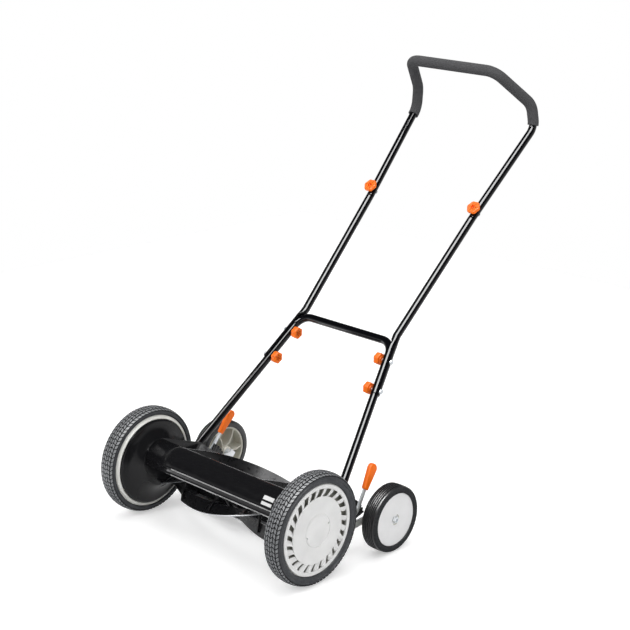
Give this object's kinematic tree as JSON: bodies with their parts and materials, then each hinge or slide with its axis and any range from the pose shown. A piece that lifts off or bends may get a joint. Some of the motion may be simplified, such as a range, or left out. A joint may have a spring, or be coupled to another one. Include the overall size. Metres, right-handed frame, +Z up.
{
  "type": "reel mower",
  "caption": "Push reel mower: wheel-geared helical reel over a bed knife between side plates, rear wheels on height levers, folding tube handle with a foam grip.",
  "frame": {"origin": "on the ground under the middle of the overall box", "axes": "+X to the operator's left along the wheel axles, +Y back from the reel to the handle, +Z up"},
  "size_m": [0.5948, 0.9778, 1.0345],
  "materials": {
    "black_paint": "gloss black paint",
    "black_tube": "gloss black paint",
    "blade_paint": "satin black paint",
    "steel": "ground",
    "zinc": "bright zinc plate",
    "tyre_rubber": "matte",
    "grey_plastic": "satin",
    "cream_plastic": "satin",
    "orange_plastic": "satin",
    "foam": "soft matte foam"
  },
  "bodies": {
    "frame": {"front_cover": "black_paint", "tie_tube": "black_paint", "cutter_bar": "black_paint", "bed_knife": "steel", "left_side_plate": "black_paint", "left_dust_cover": "black_paint", "left_reel_bearing": "zinc", "left_height_bracket": "black_paint", "left_lever_bolt": "zinc", "left_handle_bolt": "zinc", "right_side_plate": "black_paint", "right_dust_cover": "black_paint", "right_reel_bearing": "zinc", "right_height_bracket": "black_paint", "right_lever_bolt": "zinc", "right_handle_bolt": "zinc"},
    "reel": {"reel_shaft": "steel", "reel_spider_1": "blade_paint", "reel_spider_2": "blade_paint", "reel_spider_3": "blade_paint", "reel_spider_4": "blade_paint", "reel_blade_1": "blade_paint", "reel_blade_2": "blade_paint", "reel_blade_3": "blade_paint", "reel_blade_4": "blade_paint", "reel_blade_5": "blade_paint", "left_pinion": "steel", "right_pinion": "steel"},
    "left_front_wheel": {"left_front_wheel": "cream_plastic", "left_front_tyre": "tyre_rubber", "left_wheel_cover": "grey_plastic"},
    "left_height_lever": {"left_height_lever": "zinc", "left_lever_grip": "orange_plastic"},
    "left_rear_wheel": {"left_rear_wheel": "cream_plastic", "left_rear_tyre": "tyre_rubber"},
    "right_front_wheel": {"right_front_wheel": "cream_plastic", "right_front_tyre": "tyre_rubber", "right_wheel_cover": "grey_plastic"},
    "right_height_lever": {"right_height_lever": "zinc", "right_lever_grip": "orange_plastic"},
    "right_rear_wheel": {"right_rear_wheel": "cream_plastic", "right_rear_tyre": "tyre_rubber"},
    "handle": {"lower_tube": "black_tube", "left_middle_tube": "black_tube", "right_middle_tube": "black_tube", "upper_tube": "black_tube", "foam_grip": "foam", "left_clamp_bolt_1": "zinc", "left_clamp_bolt_2": "zinc", "left_upper_bolt": "zinc", "right_clamp_bolt_1": "zinc", "right_clamp_bolt_2": "zinc", "right_upper_bolt": "zinc"},
    "left_clamp_knob_1": {"left_clamp_knob_1": "orange_plastic"},
    "left_clamp_knob_2": {"left_clamp_knob_2": "orange_plastic"},
    "left_upper_knob": {"left_upper_knob": "orange_plastic"},
    "right_clamp_knob_1": {"right_clamp_knob_1": "orange_plastic"},
    "right_clamp_knob_2": {"right_clamp_knob_2": "orange_plastic"},
    "right_upper_knob": {"right_upper_knob": "orange_plastic"}
  },
  "joints": [
    {"name": "reel_spin", "type": "hinge", "parent": "frame", "child": "reel", "pos_m": [0, -0.29886, 0.0965], "axis": [1, 0, 0], "continuous": true},
    {"name": "left_front_wheel_spin", "type": "hinge", "parent": "frame", "child": "left_front_wheel", "pos_m": [0.26, -0.36186, 0.127], "axis": [1, 0, 0], "continuous": true},
    {"name": "left_height_tilt", "type": "hinge", "parent": "frame", "child": "left_height_lever", "pos_m": [0.238, -0.21186, 0.068], "axis": [1, 0, 0], "range_deg": [-30, 0]},
    {"name": "left_rear_wheel_spin", "type": "hinge", "parent": "left_height_lever", "child": "left_rear_wheel", "pos_m": [0.276, -0.11386, 0.078], "axis": [1, 0, 0], "continuous": true},
    {"name": "right_front_wheel_spin", "type": "hinge", "parent": "frame", "child": "right_front_wheel", "pos_m": [-0.26, -0.36186, 0.127], "axis": [1, 0, 0], "continuous": true},
    {"name": "right_height_tilt", "type": "hinge", "parent": "frame", "child": "right_height_lever", "pos_m": [-0.238, -0.21186, 0.068], "axis": [1, 0, 0], "range_deg": [-30, 0]},
    {"name": "right_rear_wheel_spin", "type": "hinge", "parent": "right_height_lever", "child": "right_rear_wheel", "pos_m": [-0.276, -0.11386, 0.078], "axis": [1, 0, 0], "continuous": true},
    {"name": "handle_tilt", "type": "hinge", "parent": "frame", "child": "handle", "pos_m": [0, -0.24386, 0.133], "axis": [1, 0, 0], "range_deg": [-20, 40]},
    {"name": "left_clamp_knob_1_turn", "type": "hinge", "parent": "handle", "child": "left_clamp_knob_1", "pos_m": [0.13333, -0.00286, 0.39298], "axis": [-1, 0, 0], "range_deg": [0, 360]},
    {"name": "left_clamp_knob_2_turn", "type": "hinge", "parent": "handle", "child": "left_clamp_knob_2", "pos_m": [0.14901, -0.05386, 0.33796], "axis": [-1, 0, 0], "range_deg": [0, 360]},
    {"name": "left_upper_knob_turn", "type": "hinge", "parent": "handle", "child": "left_upper_knob", "pos_m": [0.16133, 0.28264, 0.71244], "axis": [0, -0.714, 0.7001], "range_deg": [0, 360]},
    {"name": "right_clamp_knob_1_turn", "type": "hinge", "parent": "handle", "child": "right_clamp_knob_1", "pos_m": [-0.13333, -0.00286, 0.39298], "axis": [1, 0, 0], "range_deg": [0, 360]},
    {"name": "right_clamp_knob_2_turn", "type": "hinge", "parent": "handle", "child": "right_clamp_knob_2", "pos_m": [-0.14901, -0.05386, 0.33796], "axis": [1, 0, 0], "range_deg": [0, 360]},
    {"name": "right_upper_knob_turn", "type": "hinge", "parent": "handle", "child": "right_upper_knob", "pos_m": [-0.16133, 0.28264, 0.71244], "axis": [0, -0.714, 0.7001], "range_deg": [0, 360]}
  ],
  "couplings": [
    {"joint": "left_front_wheel_spin", "follows": "reel_spin", "ratio": 0.2},
    {"joint": "right_front_wheel_spin", "follows": "reel_spin", "ratio": 0.2}
  ]
}
